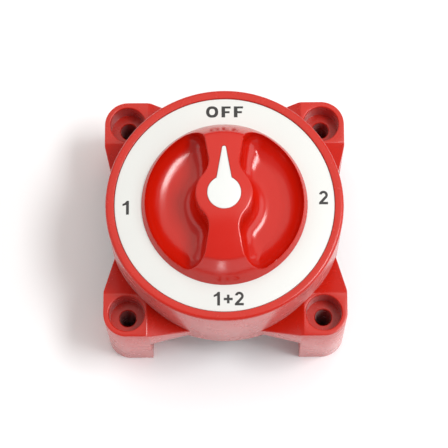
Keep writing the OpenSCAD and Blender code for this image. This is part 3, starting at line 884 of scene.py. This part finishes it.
STUD_R, STUD_TIP_R = 4.76, 3.9
THREAD_PITCH, THREAD_DEPTH = 25.4 / 16, 0.9
CREST_HALF, FLANK_RUN = 0.06, 0.38     # half a crest and a flank of the thread, as shares of the pitch
RINGS_PER_TURN = 12
RUN_OUT, RUN_OUT_EASE = 1.0, 0.1       # plain length between the thread and the collar
STUD_AT_R = 24.5
STUD_ANGLES = {"stud_battery_1": 225, "stud_battery_2": 315, "stud_common": 90}
COLLAR_APOTHEM, COLLAR_H, SPIGOT_R = 6.45, 3.0, 4.0
NUT_APOTHEM, NUT_CHAMFER = 7.15, math.tan(math.radians(30))
NUT_FACE_R, NUT_BORE_R, NUT_SINK = NUT_APOTHEM - 0.15, STUD_R + 0.06, 0.6
WASHER_R, WASHER_EDGE, WASHER_BORE_R = 10.0, 0.25, STUD_R + 0.25


def stud_place(name):
    a = math.radians(STUD_ANGLES[name])
    return STUD_AT_R * math.cos(a), STUD_AT_R * math.sin(a)


def around(at, radius, z):
    """Ring of points; radius and z may be functions of the angle."""
    points = []
    for a in np.linspace(0, 2 * math.pi, AROUND_SMALL, endpoint=False):
        r, h = (value(a) if callable(value) else value for value in (radius, z))
        points.append((at[0] + r * math.cos(a), at[1] + r * math.sin(a), h))
    return points


def hexagon(apothem):
    """Radius of a hexagon, as a function of the angle."""
    return lambda a: apothem / math.cos(a % (math.pi / 3) - math.pi / 6)


def thread_radius(z, a, end_z):
    """Radius of a V thread with flat crests and roots, turned down to a cone at its free end."""
    turn = ((z - end_z) / THREAD_PITCH - a / (2 * math.pi)) % 1
    flank = min(max((abs(turn - 0.5) - CREST_HALF) / FLANK_RUN, 0), 1)
    return min(STUD_R - THREAD_DEPTH * flank, STUD_TIP_R + z - end_z)


def make_stud(name):
    """Threaded stud, with a hexagonal collar and a spigot that goes through its contact."""
    at = stud_place(name)
    low, high = low_high(name)
    collar_z = PLATE_HIGH.z - COLLAR_H
    thread_top = collar_z - RUN_OUT
    steps = int((thread_top - low.z) / THREAD_PITCH * RINGS_PER_TURN)
    rings = [around(at, lambda a, z=z: thread_radius(z, a, low.z), z)
             for z in np.linspace(low.z, thread_top, steps)]
    neck_r, collar = STUD_R - THREAD_DEPTH, hexagon(COLLAR_APOTHEM)
    rings += [
        around(at, neck_r, thread_top + RUN_OUT_EASE), around(at, neck_r, collar_z),
        around(at, collar, collar_z), around(at, collar, PLATE_HIGH.z),
        around(at, SPIGOT_R, PLATE_HIGH.z), around(at, SPIGOT_R, high.z),
    ]
    bm = bmesh.new()
    sweep_rings(bm, rings)
    piece = piece_of(shape(bm), name + "_threaded", FIXED, "tinned_copper", sharp=50)
    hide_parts(name)


def make_nuts():
    """Three hexagon nuts, chamfered on both faces, with a countersunk bore."""
    low, high = low_high("hex_nuts")
    flats, sink_r = hexagon(NUT_APOTHEM), NUT_BORE_R + NUT_SINK

    def rise(a):
        """Height of the chamfer, which grows towards the hexagon's corners."""
        return (flats(a) - NUT_FACE_R) * NUT_CHAMFER

    bm = bmesh.new()
    for name in STUD_ANGLES:
        at = stud_place(name)
        sweep_rings(bm, [
            around(at, sink_r, low.z), around(at, NUT_FACE_R, low.z),
            around(at, flats, lambda a: low.z + rise(a)),
            around(at, flats, lambda a: high.z - rise(a)),
            around(at, NUT_FACE_R, high.z), around(at, sink_r, high.z),
            around(at, NUT_BORE_R, high.z - NUT_SINK), around(at, NUT_BORE_R, low.z + NUT_SINK),
        ], loop=True)
    nuts = piece_of(shape(bm), "hex_nuts_chamfered", FIXED, "stainless", sharp=25)
    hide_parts("hex_nuts")


def make_flat_washers():
    """Three washers with rounded outer edges."""
    low, high = low_high("flat_washers")
    edge_at = WASHER_R - WASHER_EDGE
    section = arc((edge_at, low.z + WASHER_EDGE), WASHER_EDGE, -90, 0, 3)
    section += arc((edge_at, high.z - WASHER_EDGE), WASHER_EDGE, 0, 90, 3)
    section += [(WASHER_BORE_R, high.z), (WASHER_BORE_R, low.z)]
    bm = bmesh.new()
    for name in STUD_ANGLES:
        revolve(section, stud_place(name), AROUND_SMALL, loop=True, bm=bm)
    washers = piece_of(shape(bm), "flat_washers_rounded", FIXED, "stainless", sharp=35)
    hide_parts("flat_washers")


# ---- CAD nodes that stay -------------------------------------------------------------------------

EASED = {"base_plate": 0.35, "contact_carrier": 0.25, "detent_wheel": 0.2, "lock_washers": 0.15,
         "base_screws": 0.15, "knob_screw": 0.15, "moving_contact": 0.15, "contact_common": 0.15,
         "contact_battery_1": 0.15, "contact_battery_2": 0.15}      # width of the eased edges
EASED_OVER, EASE_WELD = math.radians(50), 1e-6


def dress_frame():
    """Materials on every CAD node by its slot, and eased edges on those that are seen."""
    slots = {part["node"]: part["material_slot"] for part in frame["record"]["subparts"]}
    for name, node in frame["nodes"].items():
        node.data.materials.clear()
        node.data.materials.append(MATERIALS[slots[name]])
        if name in EASED:
            weld = node.modifiers.new("weld", "WELD")
            weld.merge_threshold = EASE_WELD
            ease = node.modifiers.new("ease", "BEVEL")
            ease.width = EASED[name] * MM
            ease.segments = 2
            ease.limit_method = "ANGLE"
            ease.angle_limit = EASED_OVER


make_camera()
make_floor()
make_lights()
make_housing()
make_legend()
make_print()
make_knob()
make_pointer()
for stud in STUD_ANGLES:
    make_stud(stud)
make_nuts()
make_flat_washers()
dress_frame()
